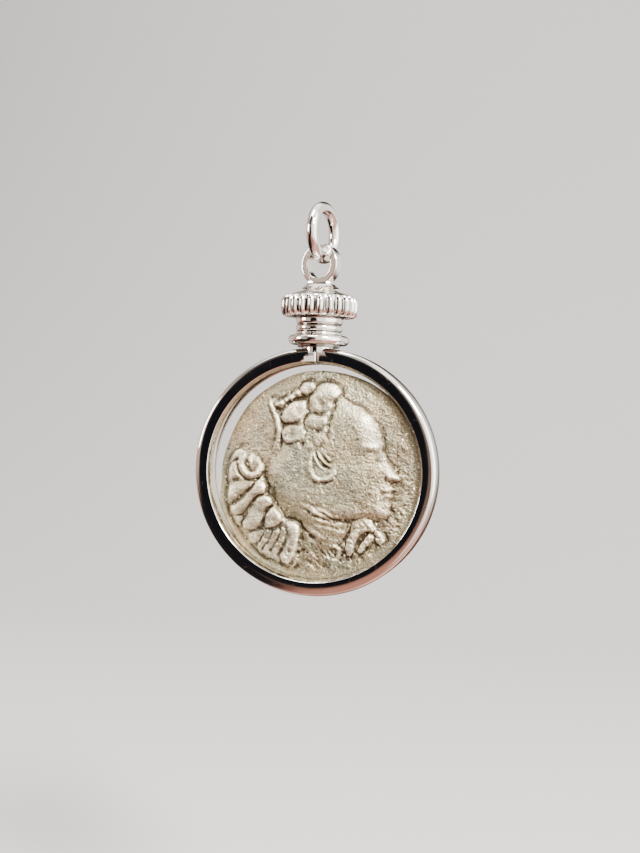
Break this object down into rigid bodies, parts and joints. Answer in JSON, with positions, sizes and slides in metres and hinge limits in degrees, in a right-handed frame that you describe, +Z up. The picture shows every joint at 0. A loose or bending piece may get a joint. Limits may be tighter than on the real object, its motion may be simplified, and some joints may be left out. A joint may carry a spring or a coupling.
{
  "type": "coin pendant",
  "caption": "Worn silver coin with a profile head, held in a split polished bezel by a gadrooned screw cap, hanging from a jump ring.",
  "frame": {"origin": "the inner top of the jump ring, where a chain bears", "axes": "+Z up along the pendant, +X to the viewer's right, the coin's obverse faces -Y"},
  "size_m": [0.0197, 0.0062, 0.0313],
  "materials": {
    "ring_silver": "polished silver wire",
    "cap_silver": "polished cast silver, lightly scratched",
    "bezel_silver": "mirror-polished silver with fine scratches",
    "coin_silver": "worn old silver, warm toned, darker in the recesses"
  },
  "bodies": {
    "hanging_ring": {"jump_ring": "ring_silver"},
    "cap": {"screw_cap": "cap_silver"},
    "coin_holder": {"bezel_ring": "bezel_silver", "coin": "coin_silver"}
  },
  "joints": [
    {"name": "swing", "type": "hinge", "parent": "hanging_ring", "child": "cap", "pos_m": [0, 0, -0.00356], "axis": [0.2164, 0.9763, 0], "range_deg": [-90, 90]},
    {"name": "unscrew", "type": "hinge", "parent": "cap", "child": "coin_holder", "pos_m": [-0.0001, 0.00003, -0.0107], "axis": [0, 0, -1], "range_deg": [0, 360]}
  ]
}
